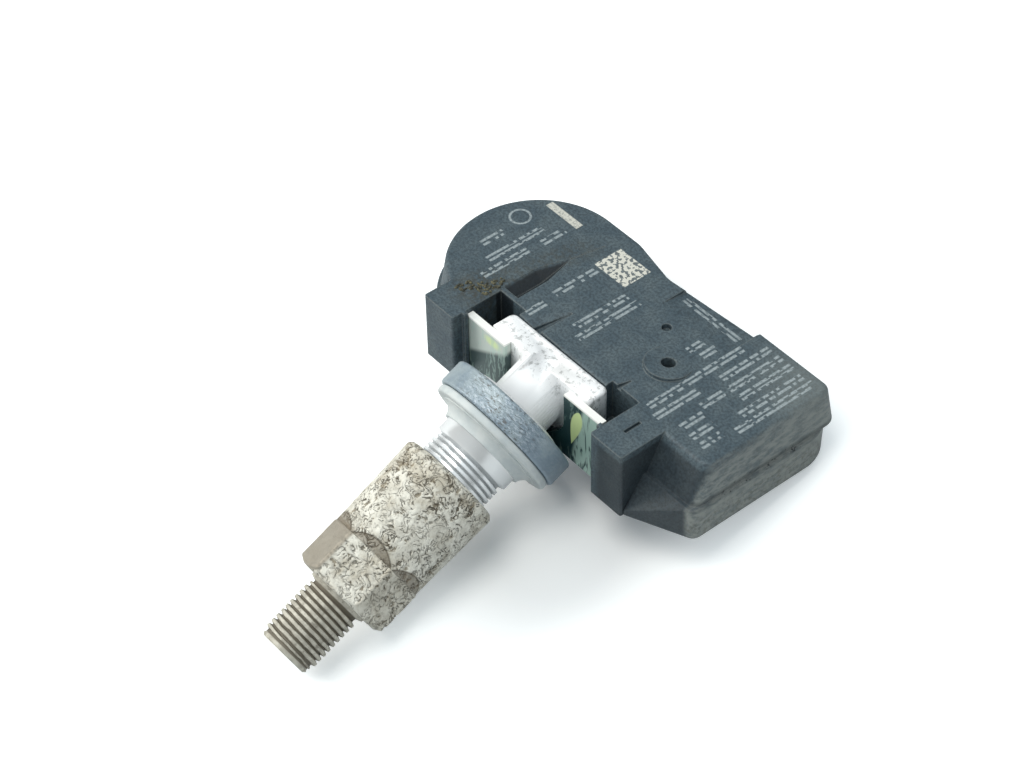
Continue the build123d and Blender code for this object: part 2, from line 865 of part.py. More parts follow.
with BuildPart() as core_cup:
    revolve(
        turned([
            (pin_radius + grommet_gap, cup_front_s - cup_width),
            (cup_radius - cup_slope, cup_front_s - cup_width),
            (cup_radius, cup_front_s - cup_width + cup_slope),
            (cup_radius, cup_front_s),
            (pin_radius + grommet_gap, cup_front_s),
        ]),
        axis=stem_axis,
    )
core_cup.part.label = "core_cup"

spring_radius = (pin_radius + spring_chamber) / 2
spring_height = pin_collar_s - chamber_start_s - 2 * spring_wire
with BuildPart() as core_spring:
    with BuildLine() as spring_line:
        Helix(
            pitch=spring_height / spring_turns,
            height=spring_height,
            radius=spring_radius,
            center=stem_origin + stem_direction * (chamber_start_s + spring_wire),
            direction=stem_direction,
        )
    with BuildSketch(Plane(origin=spring_line.line @ 0, z_dir=spring_line.line % 0)):
        Circle(spring_wire / 2)
    sweep(is_frenet=True)
core_spring.part.label = "core_spring"

# Lay the sensor down: it rests on the far bottom edge of the skirt and on a corner of the hexagon
edge_y = far_y + ledge_growth - skirt_shrink - base_round
edge_z = -deck_to_base + base_round
corner_s = nut_end_s - (hex_radius - hex_flats / 2 + hex_chamfer) * tan(radians(hex_chamfer_slope))
corner_drop = hex_radius * cos(radians(hex_turn % 60 - 30))
corner_y = -corner_s * cos(tilt) + corner_drop * sin(tilt)
corner_z = stem_axis_z - corner_s * sin(tilt) - corner_drop * cos(tilt)
span = hypot(edge_y - corner_y, edge_z - corner_z)
lay_tilt = degrees(asin(base_round / span) - atan2(edge_z - corner_z, edge_y - corner_y))

pieces = [
    housing.part,
    base_cover.part,
    circuit_board.part,
    battery_cell.part,
    battery_tab_positive.part,
    battery_tab_negative.part,
    sensor_chip.part,
    port_seal.part,
    wake_coil_core.part,
    wake_coil_winding.part,
    radio_antenna.part,
    crystal.part,
    board_capacitors.part,
    valve_stem.part,
    retaining_plate.part,
    collar_ring.part,
    sealing_grommet.part,
    collar_nut.part,
    valve_core_body.part,
    core_barrel_seal.part,
    core_pin.part,
    core_cup.part,
    core_spring.part,
]
laid = Location((0, 0, 0), (lay_tilt, 0, 0))
boxes = [piece.moved(laid).bounding_box() for piece in pieces]
middle_x = (min(box.min.X for box in boxes) + max(box.max.X for box in boxes)) / 2
middle_y = (min(box.min.Y for box in boxes) + max(box.max.Y for box in boxes)) / 2
floor_z = min(box.min.Z for box in boxes)
rest = Location((-middle_x, -middle_y, -floor_z), (lay_tilt, 0, 0))

os.makedirs("parts", exist_ok=True)
for piece in pieces:
    export_step(piece.moved(rest), f"parts/{piece.label}.step")

print("lay tilt", round(lay_tilt, 3), "shift", round(middle_x, 3), round(middle_y, 3), round(floor_z, 3))
for name, s in (("cap thread", tip_start_s + relief), ("tip", tip_s), ("nut seat", grommet_end_s)):
    place = rest * Pos(stem_origin + stem_direction * s)
    print(name, [round(value, 3) for value in place.position])
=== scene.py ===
# %% [markdown]
# # Dressing a tyre pressure sensor
# The sensor's solids come from CAD and stay exactly where they are. This lesson gives them
# their looks: the camera and the light first, then one finish after another, and with them the
# few pieces that CAD leaves plain, such as threads, corrosion and dirt.

# %% Load the solids
import json
import math

import bmesh
import bpy
from mathutils import Matrix, Vector


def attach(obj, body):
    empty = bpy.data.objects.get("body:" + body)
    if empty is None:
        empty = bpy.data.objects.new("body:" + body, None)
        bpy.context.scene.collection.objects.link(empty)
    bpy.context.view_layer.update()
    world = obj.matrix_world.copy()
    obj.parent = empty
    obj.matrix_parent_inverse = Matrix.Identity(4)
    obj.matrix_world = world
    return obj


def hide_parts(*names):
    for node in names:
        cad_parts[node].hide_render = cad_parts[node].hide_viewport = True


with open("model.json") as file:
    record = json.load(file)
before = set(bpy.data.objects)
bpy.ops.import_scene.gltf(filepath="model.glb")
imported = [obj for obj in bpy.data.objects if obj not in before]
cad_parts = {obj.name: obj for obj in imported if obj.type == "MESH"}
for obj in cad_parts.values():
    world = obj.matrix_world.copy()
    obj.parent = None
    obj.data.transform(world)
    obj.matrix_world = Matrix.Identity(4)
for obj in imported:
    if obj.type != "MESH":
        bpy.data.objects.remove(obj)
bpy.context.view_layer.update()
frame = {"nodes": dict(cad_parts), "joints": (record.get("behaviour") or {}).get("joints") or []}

nodes = frame["nodes"]
scene = bpy.context.scene

# %% [markdown]
# ## Two measuring frames
# Everything on this object is easier to place in one of two frames. The deck frame lies on the
# housing's flat top: x along the housing, y away from the valve, z up from the deck. The stem
# frame runs along the valve: its third axis is the distance outward from the housing's arms.
# Both are worked out from the nut's joint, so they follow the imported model.

# %% Deck frame and stem frame
MM = 0.001
VALVE_TILT = math.radians(25.0)
STEM_DEPTH = 5.7
NUT_MIDDLE = 22.0

nut_turn = next(joint for joint in frame["joints"] if joint["name"] == "nut_turn")
stem_out = Vector(nut_turn["axis"]).normalized()
stem_zero = Vector(nut_turn["pos_m"]) - stem_out * NUT_MIDDLE * MM
lay = math.atan2(-stem_out.z, -stem_out.y) - VALVE_TILT
deck_frame = (
    Matrix.Translation(stem_zero)
    @ Matrix.Rotation(lay, 4, "X")
    @ Matrix.Translation((0, 0, STEM_DEPTH * MM))
)
stem_rise = stem_out.cross(Vector((1, 0, 0))).normalized()
stem_side = stem_rise.cross(stem_out)
stem_turn = Matrix((stem_side, stem_rise, stem_out)).transposed()
stem_frame = Matrix.Translation(stem_zero) @ stem_turn.to_4x4()
print("deck leans", round(math.degrees(lay), 2), "degrees")

# %% [markdown]
# ## Camera
# The camera's place was found by matching known edges of the housing and the valve to the
# photograph. It is written in the deck frame, with the direction of the picture's right and up,
# because the camera was slightly rolled.

# %% Camera
CAMERA_PLACE = Vector((197.614, -160.558, 250.146))
CAMERA_RIGHT = Vector((0.63872, 0.76930, -0.01454))
CAMERA_UP = Vector((-0.53439, 0.45712, 0.71096))
CAMERA_LENS = 103.74
SENSOR_WIDTH = 36.0

camera_back = CAMERA_RIGHT.cross(CAMERA_UP).normalized()
camera_up = camera_back.cross(CAMERA_RIGHT).normalized()
camera_turn = Matrix((CAMERA_RIGHT.normalized(), camera_up, camera_back)).transposed()
camera_data = bpy.data.cameras.new("camera")
camera_data.sensor_width = SENSOR_WIDTH
camera_data.lens = CAMERA_LENS
camera_data.clip_start = 0.01
camera = bpy.data.objects.new("camera", camera_data)
camera.matrix_world = deck_frame @ Matrix.Translation(CAMERA_PLACE * MM) @ camera_turn.to_4x4()
scene.collection.objects.link(camera)
scene.camera = camera
scene.view_settings.view_transform = "Standard"
print("camera at", [round(value, 3) for value in camera.matrix_world.translation])

# %% [markdown]
# ## Node arithmetic as Python
# A finish is a small network of nodes, and most of it is arithmetic on masks. The class Wire
# wraps one output and overloads the operators, so that `1 - mask * 0.5` adds its own Math nodes.
# The class Nodes wraps a tree, and its one method add makes any other node: settings are set
# first, then each socket gets a value or a link. Materials and Geometry Nodes both use it.


# %% Wires and node trees
class Wire:
    """One output socket that takes part in Python arithmetic."""

    def __init__(self, nodes, socket):
        self.nodes = nodes
        self.socket = socket

    def math(self, operation, other=0.0, swapped=False):
        pair = (other, self) if swapped else (self, other)
        return self.nodes.add("ShaderNodeMath", {"operation": operation}, {0: pair[0], 1: pair[1]})

    def __add__(self, other):
        return self.math("ADD", other)

    def __sub__(self, other):
        return self.math("SUBTRACT", other)

    def __rsub__(self, other):
        return self.math("SUBTRACT", other, swapped=True)

    def __mul__(self, other):
        return self.math("MULTIPLY", other)

    def __truediv__(self, other):
        return self.math("DIVIDE", other)

    def __pow__(self, other):
        return self.math("POWER", other)

    def __abs__(self):
        return self.math("ABSOLUTE")

    __radd__ = __add__
    __rmul__ = __mul__


class Nodes:
    """A node tree with the few kinds of node that the finishes use most."""

    def __init__(self, tree):
        self.tree = tree

    def add(self, kind, settings=None, sockets=None, out=0):
        node = self.tree.nodes.new(kind)
        for key, value in (settings or {}).items():
            setattr(node, key, value)
        for key, value in (sockets or {}).items():
            self.plug(node.inputs[key], value)
        return Wire(self, node.outputs[out])

    def plug(self, socket, value):
        if isinstance(value, Wire):
            self.tree.links.new(value.socket, socket)
        else:
            socket.default_value = value

    def axes(self, vector):
        node = self.add("ShaderNodeSeparateXYZ", None, {0: vector}).socket.node
        return [Wire(self, output) for output in node.outputs]

    def noise(self, vector, scale, detail=2.0, rough=0.5, bend=0.0):
        sockets = {"Vector": vector, "Scale": scale, "Detail": detail, "Roughness": rough}
        return self.add("ShaderNodeTexNoise", None, sockets | {"Distortion": bend})

    def stretch(self, vector, scales):
        """The same coordinates with each axis drawn out or squeezed."""
        return self.add("ShaderNodeVectorMath", {"operation": "MULTIPLY"}, {0: vector, 1: scales})

    def step(self, value, low, high):
        """A soft step from 0 at low to 1 at high."""
        settings = {"interpolation_type": "SMOOTHSTEP"}
        return self.add("ShaderNodeMapRange", settings, {0: value, 1: low, 2: high})

    def band(self, value, low, high, edge=0.06):
        """1 where a value lies between two limits."""
        return self.step(value, low - edge, low + edge) * (1 - self.step(value, high - edge, high + edge))

    def spot(self, x, y, middle, core, reach):
        """1 near a place, falling to 0 at its reach."""
        away = ((x - middle[0]) ** 2 + (y - middle[1]) ** 2) ** 0.5
        return 1 - self.step(away, core, reach)


class Finish(Nodes):
    """A material under construction, with its Principled shader ready."""

    def __init__(self, name, **constants):
        self.material = bpy.data.materials.new(name)
        self.material.use_nodes = True
        super().__init__(self.material.node_tree)
        self.tree.nodes.clear()
        self.shader = self.tree.nodes.new("ShaderNodeBsdfPrincipled")
        output = self.tree.nodes.new("ShaderNodeOutputMaterial")
        self.tree.links.new(self.shader.outputs[0], output.inputs[0])
        for socket, value in constants.items():
            self.shader.inputs[socket.replace("_", " ")].default_value = value

    def place(self, measuring_frame):
        """Object coordinates in millimetres, seen from a measuring frame."""
        back = measuring_frame.inverted()
        point = self.add("ShaderNodeTexCoord", out=3)
        return self.add("ShaderNodeMapping", {"vector_type": "POINT"}, {
            "Vector": point, "Location": back.translation / MM,
            "Rotation": back.to_euler(), "Scale": (1 / MM,) * 3,
        })

    def blend(self, mask, first, second):
        """Mixes two colours by a mask."""
        sockets = {0: mask, 6: first, 7: second}
        return self.add("ShaderNodeMix", {"data_type": "RGBA"}, sockets, out=2)

    def bump(self, height, depth, strength=1.0, base=None):
        """Turns a height from 0 to 1 into a normal, with its depth in millimetres."""
        sockets = {"Height": height, "Distance": depth * MM, "Strength": strength}
        return self.add("ShaderNodeBump", None, sockets | ({"Normal": base} if base else {}))

    def soft_edges(self, radius):
        """A normal that rounds the edges, and a mask of where it had to."""
        soft = self.add("ShaderNodeBevel", {"samples": 4}, {"Radius": radius * MM})
        facing = self.add("ShaderNodeNewGeometry", out=1)
        agree = self.add("ShaderNodeVectorMath", {"operation": "DOT_PRODUCT"}, {0: soft, 1: facing}, out=1)
        return soft, self.step(1 - agree, 0.01, 0.2)

    def wear(self, **values):
        """Feeds what varies over the surface into the shader."""
        for socket, value in values.items():
            self.plug(self.shader.inputs[socket.replace("_", " ")], value)
        return self.material


def colour(red, green, blue):
    """A colour as a picture editor gives it, 0 to 255, made linear for the shader."""
    values = [value / 255 for value in (red, green, blue)]
    linear = [value / 12.92 if value < 0.04 else ((value + 0.055) / 1.055) ** 2.4 for value in values]
    return (*linear, 1.0)


def dress(material, *names):
    """Gives CAD solids their finish."""
    for name in names:
        nodes[name].data.materials.clear()
        nodes[name].data.materials.append(material)


# %% [markdown]
# ## Floor and light
# The object was photographed on a white table under soft light, strongest from above and from
# the left. A pale floor keeps the soft shadow, and a little glow that only the camera sees keeps
# it white. The glow fades under the valve, where the shadow is deepest. The room is bright
# overhead and dimmer at the sides, which gives the metal contrast.

# %% Floor
FLOOR_HALF = 1.5
FLOOR_DROP = 0.00005
FLOOR_GLOW = 0.36
SHADOW_MIDDLE = (11.0, 0.0)
SHADOW_CORE = 6.0
SHADOW_REACH = 21.0
SHADOW_FADE = 0.95
FLOOR_BOUNCE = colour(214, 217, 219)
FLOOR_TINT = colour(246, 253, 255)

floor_mesh = bpy.data.meshes.new("floor")
corners = [(-1, -1), (1, -1), (1, 1), (-1, 1)]
floor_mesh.from_pydata(
    [(x * FLOOR_HALF, y * FLOOR_HALF, -FLOOR_DROP) for x, y in corners], [], [(0, 1, 2, 3)]
)
floor = bpy.data.objects.new("floor", floor_mesh)
scene.collection.objects.link(floor)
table = Finish("white_table", Roughness=0.7, Emission_Strength=FLOOR_GLOW)
spot = table.place(Matrix.Identity(4))
table_tone = table.noise(spot, 0.02, 3.0)
table_x, table_y, _ = table.axes(spot)
# Painted shadow: around the valve the camera-only glow fades out, so the floor there is darker than the lamps
# alone make it.
painted_shadow_spot = table.spot(table_x, table_y, SHADOW_MIDDLE, SHADOW_CORE, SHADOW_REACH)
camera_ray = table.add("ShaderNodeLightPath")
glow = camera_ray * (1 - painted_shadow_spot * SHADOW_FADE)
white = table.blend(table_tone, colour(251, 251, 251), colour(247, 248, 249))
floor_mesh.materials.append(table.wear(
    Base_Color=table.blend(camera_ray, FLOOR_BOUNCE, white),
    Emission_Color=table.blend(glow, colour(0, 0, 0), FLOOR_TINT),
))
print("floor", 2 * FLOOR_HALF, "m wide")

# %% Room and lamps
ROOM_LOW = 0.12
ROOM_HIGH = 0.95
ROOM_TINT = colour(232, 242, 247)
LAMP_TINT = colour(255, 251, 243)[:3]

world = bpy.data.worlds.new("soft_room")
world.use_nodes = True
scene.world = world
room = Nodes(world.node_tree)
backdrop = world.node_tree.nodes["Background"]
look = room.axes(room.add("ShaderNodeTexCoord"))
room.plug(backdrop.inputs["Color"], ROOM_TINT)
room.plug(backdrop.inputs["Strength"], ROOM_LOW + room.step(look[2], 0.05, 0.95) * (ROOM_HIGH - ROOM_LOW))


def soft_lamp(name, place, power, size):
    """A square lamp, looking at the middle of the object."""
    data = bpy.data.lights.new(name, "AREA")
    data.color = LAMP_TINT
    data.energy = power
    data.size = size
    lamp = bpy.data.objects.new(name, data)
    lamp.location = place
    lamp.rotation_euler = (-Vector(place)).to_track_quat("-Z", "Y").to_euler()
    scene.collection.objects.link(lamp)
    return lamp


lamps = [
    soft_lamp("window", (-0.6, -0.32, 0.42), 3.0, 0.3),
    soft_lamp("ceiling", (-0.02, -0.08, 0.9), 2.8, 0.45),
]
print("lamps:", [lamp.name for lamp in lamps])

# %% [markdown]
# ## Housing plastic
# The housing is filled nylon, slate grey and satin, with a fine moulded grain. Its end wall is
# painted lighter all over, partly scuffs and partly painted light; dirt has settled behind one arm
# and along the trough, and pale laser marking covers the deck. The marking is drawn only as plain
# fields and broken bars. A bevel node rounds the edges in the light, and where it does, the
# plastic is painted a little paler, partly as rubbing and partly as a painted highlight.

# %% Housing: coordinates and grain
housing_finish = Finish("housing_plastic", Specular_IOR_Level=0.5)
spot = housing_finish.place(deck_frame)
x, y, z = housing_finish.axes(spot)
grain = housing_finish.noise(spot, 2.8, 4.0, 0.7)
cloud = housing_finish.noise(spot, 0.3, 4.0, 0.6)
streak = housing_finish.noise(housing_finish.stretch(spot, (1.0, 0.3, 1.0)), 1.5, 6.0, 0.68)
soil_grain = housing_finish.noise(spot, 1.5, 5.0, 0.7)

# %% Housing: pale marking
BAR_INNER = 0.16
BAR_OUTER = 0.56
BAR_EDGE = 0.07
DASH_CELLS = (1.6, 2.3, 0.0)
DASH_EDGE = (0.26, 0.3)
STRIP_Y = 24.4
STRIP_X = (2.8, 12.6)
FIELD_X = (-9.1, -3.4)
FIELD_Y = (19.8, 24.2)
SIGN_X = (-21.6, -15.6)
SIGN_Y = (22.4, 23.5)
RING_MARK_AT = (-22.1, 18.5)
RING_MARK = (1.2, 1.5)
# Rows of marking: middle x, first y and last y in the deck frame
MARK_ROWS = [
    (-21.3, 11.5, 15.1), (-18.5, 10.2, 19.2), (-16.6, 7.8, 15.2), (-16.4, 17.2, 21.1),
    (-8.1, 12.4, 19.3), (-7.7, 7.6, 10.5), (-2.0, 10.5, 19.0), (-0.2, 9.4, 19.4),
    (14.2, 8.2, 23.5), (16.1, 7.6, 14.5), (16.4, 18.0, 26.0), (18.3, 13.0, 16.6),
    (18.4, 17.4, 26.0), (20.3, 17.5, 26.0), (22.4, 15.5, 26.0), (24.1, 13.4, 26.0),
    (19.4, 8.8, 12.4), (21.4, 8.6, 12.2), (23.2, 8.4, 11.8), (10.2, 18.2, 20.6), (12.0, 18.8, 21.2),
]

cells = housing_finish.add(
    "ShaderNodeVectorMath", {"operation": "FLOOR"}, {0: housing_finish.stretch(spot, DASH_CELLS)}
)
chance = housing_finish.add("ShaderNodeTexWhiteNoise", None, {"Vector": cells})
dashes = housing_finish.step(chance, *DASH_EDGE)
bars = 0.0
for row_x, first_y, last_y in MARK_ROWS:
    row = housing_finish.band(abs(x - row_x), BAR_INNER, BAR_OUTER, BAR_EDGE)
    bars = row * housing_finish.band(y, first_y, last_y) + bars
strip_bar = housing_finish.band(abs(y - STRIP_Y), BAR_INNER, BAR_OUTER, BAR_EDGE)
strip_bar = strip_bar * housing_finish.band(x, *STRIP_X)
field = housing_finish.band(x, *FIELD_X) * housing_finish.band(y, *FIELD_Y)
sign_bar = housing_finish.band(x, *SIGN_X) * housing_finish.band(y, *SIGN_Y)
from_ring = ((x - RING_MARK_AT[0]) ** 2 + (y - RING_MARK_AT[1]) ** 2) ** 0.5
ring_mark = housing_finish.band(from_ring, *RING_MARK)
on_deck = housing_finish.step(z, -0.9, -0.7)
worn = housing_finish.step(housing_finish.noise(spot, 2.6, 4.0, 0.7), 0.34, 0.56)
mark_mask = ((bars + strip_bar) * dashes + ring_mark) * on_deck * (0.3 + worn * 0.7)
flaked = housing_finish.step(housing_finish.noise(spot, 2.0, 2.0, 0.5), 0.45, 0.5)
field_mask = (field * (0.12 + flaked * 0.88) + sign_bar * (0.4 + worn * 0.5)) * on_deck
print("marking rows:", len(MARK_ROWS))

# %% Housing: plastic and end wall
SLATE = colour(73, 89, 98)
SLATE_DUSTY = colour(90, 104, 110)
SCUFF_AND_LIGHT = colour(142, 147, 143)
DUST = colour(150, 154, 147)
SOIL = colour(62, 58, 44)
DARK = colour(20, 26, 31)
END_WALL = (25.7, 26.6)
SKIRT_TOP = (-5.6, -4.9)
DUSTY_CORNER = (25.5, 27.0)

base = housing_finish.blend(housing_finish.step(cloud, 0.35, 0.7), SLATE, SLATE_DUSTY)
base = housing_finish.blend((1 - housing_finish.step(grain, 0.38, 0.6)) * 0.5, base, DARK)
corner_dust = housing_finish.spot(x, y, DUSTY_CORNER, 2.0, 13.0) * (0.4 + streak * 0.6)
base = housing_finish.blend(corner_dust * 0.4, base, DUST)
on_end = housing_finish.step(x, *END_WALL)
scuffs = housing_finish.step(streak, 0.38, 0.62)
# Partly painted light: the whole end wall is lightened, and it is lightened more along the streaky scuffs.
base = housing_finish.blend(on_end * (0.26 + scuffs * 0.64), base, SCUFF_AND_LIGHT)
on_skirt = on_end * (1 - housing_finish.step(z, *SKIRT_TOP))
base = housing_finish.blend(on_skirt * streak * 0.6, base, DUST)
print("end wall from x", END_WALL[0])

# %% [markdown]
# Dirt is not spread evenly: it sits low on the skirt, behind the left arm and in the trough. Each
# place is a mask in deck coordinates, broken up by noise. A dark band also runs along the ledge,
# and the floor of the trough gets a painted shade.

# %% Housing: dirt and painted shade
LEDGE_LINE = (-5.3, -4.5)
LEDGE_NICKS = (8.0, 21.0)
ARM_DIRT_AT = (-15.2, 5.8)
TROUGH_LEAN = -0.22
TROUGH_BAND = (-18.6, -14.6)
TROUGH_FLOOR = (-13.5, -10.6)

low_dirt = housing_finish.step(soil_grain, 0.45, 0.62)
skirt_dirt = on_end * (1 - housing_finish.step(z, -7.5, -5.0)) * low_dirt
base = housing_finish.blend(skirt_dirt * 0.45, base, SOIL)
# A dark band runs along the ledge, darker still at its nicks.
ledge_line = housing_finish.band(z, *LEDGE_LINE, 0.25) * housing_finish.step(x, 25.9, 26.3)
nicks = housing_finish.step(housing_finish.noise(spot, 1.7, 4.0, 0.7), 0.56, 0.62)
nicks = nicks * housing_finish.band(y, *LEDGE_NICKS, 1.0)
base = housing_finish.blend(ledge_line * (0.4 + nicks * 0.6), base, DARK)
arm_dirt = housing_finish.spot(x, y, ARM_DIRT_AT, 1.0, 5.0)
trough_dirt = housing_finish.band(x + y * TROUGH_LEAN, *TROUGH_BAND, 0.9)
trough_dirt = trough_dirt * housing_finish.band(y, 8.5, 22.0, 2.0)
soil_mask = (arm_dirt + trough_dirt * 0.6) * housing_finish.step(soil_grain, 0.38, 0.62)
base = housing_finish.blend(soil_mask * 0.7, base, SOIL)
# Painted shade: the floor of the trough is painted dark, as shade in the recess.
painted_trough_shade = housing_finish.band(x, *TROUGH_FLOOR, 0.2) * (1 - housing_finish.step(z, -0.35, -0.1))
base = housing_finish.blend(painted_trough_shade * housing_finish.band(y, 7.0, 19.0) * 0.85, base, DARK)
print("dirt masks done")

# %% Housing: marking, edges and skin
MARK_PALE = colour(172, 182, 185)
MARK_FIELD = colour(226, 224, 212)
EDGE_ROUND = 0.3

base = housing_finish.blend(mark_mask * 0.8, base, MARK_PALE)
base = housing_finish.blend(field_mask * 0.9, base, MARK_FIELD)
# Painted shade: the notch beside the right arm is painted darker, as shade in the recess.
painted_notch_shade = housing_finish.step(x, 13.5, 15.0) * (1 - housing_finish.step(y, 7.0, 9.0))
painted_notch_shade = painted_notch_shade * (1 - housing_finish.step(z, -1.2, -0.6)) * (1 - on_end)
base = housing_finish.blend(painted_notch_shade * 0.6, base, DARK)
soft, worn_and_lit_edges = housing_finish.soft_edges(EDGE_ROUND)
# Edges rounded by the bevel are painted paler, partly as rubbed wear and partly as a painted highlight.
base = housing_finish.blend(worn_and_lit_edges * (0.25 + streak * 0.4) * (1 - painted_notch_shade), base, SCUFF_AND_LIGHT)
skin = grain * 0.65 + cloud * 0.35
dress(housing_finish.wear(
    Base_Color=base,
    Roughness=0.42 + grain * 0.2,
    Normal=housing_finish.bump(skin, 0.09, 0.8, soft),
), "housing")
print("housing finish:", len(housing_finish.tree.nodes), "nodes")

# %% [markdown]
# ## Two-tone finishes
# Most small pieces need no more than two close tones that drift into each other, and a skin
# that is not quite even. One helper makes such a finish. The grommet has it, and so have the
# pieces inside the housing, so that they look right when the sensor is opened.


# %% Plain finishes
def two_tone(name, first, second, rough, metal=0.0, scale=0.8, depth=0.02):
    """A finish of two tones with a slightly uneven skin."""
    finish = Finish(name, Metallic=metal)
    place = finish.place(deck_frame)
    drift = finish.noise(place, scale, 4.0, 0.6)
    fine = finish.noise(place, scale * 6, 3.0, 0.6)
    return finish.wear(
        Base_Color=finish.blend(finish.step(drift, 0.35, 0.65), first, second),
        Roughness=rough + fine * 0.15,
        Normal=finish.bump(fine, depth, 0.5),
    )


# Each line: name, two tones, roughness, metal, size of the drift, and the solids that get it
PLAIN_FINISHES = [
    ("cover_plastic", (44, 56, 64), (60, 72, 78), 0.45, 0.0, 0.8, ["base_cover"]),
    ("board_laminate", (20, 84, 52), (28, 100, 62), 0.35, 0.0, 0.8, ["circuit_board"]),
    ("cell_steel", (176, 178, 180), (192, 193, 194), 0.25, 1.0, 0.8, ["battery_cell", "crystal"]),
    ("tab_nickel", (196, 190, 178), (178, 174, 164), 0.3, 1.0, 0.8,
     ["battery_tab_positive", "battery_tab_negative"]),
    ("chip_plastic", (172, 178, 178), (190, 194, 192), 0.5, 0.0, 0.8, ["sensor_chip"]),
    ("seal_rubber", (150, 158, 158), (172, 178, 176), 0.6, 0.0, 0.8, ["port_seal", "core_barrel_seal"]),
    ("ferrite", (50, 48, 48), (66, 63, 62), 0.4, 0.0, 0.8, ["wake_coil_core"]),
    ("copper_wire", (184, 104, 58), (200, 122, 70), 0.3, 1.0, 2.0, ["wake_coil_winding"]),
    ("antenna_metal", (200, 196, 186), (186, 182, 172), 0.3, 1.0, 0.8, ["radio_antenna"]),
    ("chip_ceramic", (150, 126, 100), (170, 148, 122), 0.5, 0.0, 0.8, ["board_capacitors"]),
    ("core_brass", (176, 146, 84), (140, 116, 68), 0.35, 1.0, 1.5, ["valve_core_body", "core_cup"]),
    ("pin_steel", (168, 168, 166), (130, 128, 124), 0.35, 1.0, 1.5, ["core_pin", "core_spring"]),
    ("grommet_rubber", (196, 204, 205), (212, 217, 216), 0.5, 0.0, 0.4, ["sealing_grommet"]),
]

for name, first, second, rough, metal, scale, solids in PLAIN_FINISHES:
    dress(two_tone(name, colour(*first), colour(*second), rough, metal, scale), *solids)
print("plain finishes:", len(PLAIN_FINISHES))

# %% [markdown]
# ## Bright and weathered metal
# The stem and its foot block are machined aluminium, still clean where the rim covered them.
# The tip outside the rim is dull and grey-brown. One finish covers both: the distance along the
# stem decides how far the weather has got, and dirt stays in the roots of the tip's thread. The
# roots of the clean stem thread get a painted shade.

# %% Stem finish
BRIGHT = colour(250, 251, 252)
TURNED = colour(248, 250, 251)
SPECK = colour(150, 152, 150)
GROOVE_SHADE = colour(96, 103, 106)
CREST = colour(208, 204, 190)
ROOT = colour(120, 113, 100)
PALE_OXIDE = colour(206, 201, 187)
WEATHER_START = 29.0
TIP_RIM = 40.85
VALVE_START = (3.5, 5.0)
BLOCK_FAR_EDGE = (-4.6, -2.6)
GROOVE_START = (8.7, 8.9)
GROOVE_RADIUS = (4.74, 5.0)
CREST_RADIUS = (3.45, 3.8)

stem_finish = Finish("stem_aluminium")
spot = stem_finish.place(stem_frame)
side, rise, along = stem_finish.axes(spot)
radius = (side ** 2 + rise ** 2) ** 0.5
fine = stem_finish.noise(spot, 3.0, 4.0, 0.6)
lathe = stem_finish.noise(stem_finish.stretch(spot, (0.3, 0.3, 9.0)), 1.0, 3.0, 0.6)
far_edge = 1 - stem_finish.step(along, *BLOCK_FAR_EDGE)
specks = stem_finish.step(stem_finish.noise(spot, 1.3, 5.0, 0.75), 0.52, 0.62) * far_edge
outside = stem_finish.step(along, WEATHER_START, WEATHER_START + 0.6)
rim = stem_finish.step(along, TIP_RIM, TIP_RIM + 0.1)
crest = stem_finish.step(radius, *CREST_RADIUS).math("MAXIMUM", rim)
blotch = stem_finish.step(stem_finish.noise(spot, 0.9, 5.0, 0.7), 0.42, 0.64)
weather = stem_finish.blend(crest * (0.6 + blotch * 0.4), ROOT, CREST)
weather = stem_finish.blend(blotch * crest * 0.6, weather, PALE_OXIDE)
grime = stem_finish.step(stem_finish.noise(spot, 0.7, 5.0, 0.75), 0.54, 0.66)
weather = stem_finish.blend(grime * 0.65, weather, ROOT)
on_valve = stem_finish.step(along, *VALVE_START)
clean = stem_finish.blend(on_valve, BRIGHT, TURNED)
clean = stem_finish.blend(specks * 0.6, clean, SPECK)
# Painted shade: the roots of the clean stem thread are painted darker, as shade between the ridges.
groove_shade = stem_finish.step(along, *GROOVE_START) * (1 - stem_finish.step(radius, *GROOVE_RADIUS))
clean = stem_finish.blend(groove_shade * 0.5, clean, GROOVE_SHADE)
stem_material = stem_finish.wear(
    Base_Color=stem_finish.blend(outside, clean, weather),
    Metallic=0.15 + on_valve * 0.35 - outside * 0.35,
    Roughness=0.42 - on_valve * 0.24 + outside * 0.32 + fine * 0.12,
    Normal=stem_finish.bump(lathe * 0.9 + fine * 0.1, 0.006, 0.3),
)
print("stem finish:", len(stem_finish.tree.nodes), "nodes")

# %% [markdown]
# ## The stem with cut threads
# In CAD the threads are plain cylinders over their crests. Here the stem is a merged copy of the
# solid whose threaded stretches are turned down to the root.


# %% Stem turned down to the thread roots
SMOOTH_LIMIT = math.radians(32.0)


def merged_copy(name, solid):
    """A copy of a CAD solid with its doubled points merged."""
    mesh = bpy.data.meshes.new(name)
    work = bmesh.new()
    work.from_mesh(nodes[solid].data)
    bmesh.ops.remove_doubles(work, verts=work.verts, dist=1e-7)
    work.to_mesh(mesh)
    work.free()
    return mesh


def smooth_faces(mesh):
    mesh.shade_smooth()
    mesh.set_sharp_from_angle(angle=SMOOTH_LIMIT)


def show(name, mesh, material, body, slot, *replaced):
    """Puts a finished mesh into the scene as a piece that rides on a body."""
    piece = bpy.data.objects.new(name, mesh)
    scene.collection.objects.link(piece)
    mesh.materials.clear()
    mesh.materials.append(material)
    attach(piece, body)
    if replaced:
        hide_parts(*replaced)
    return piece


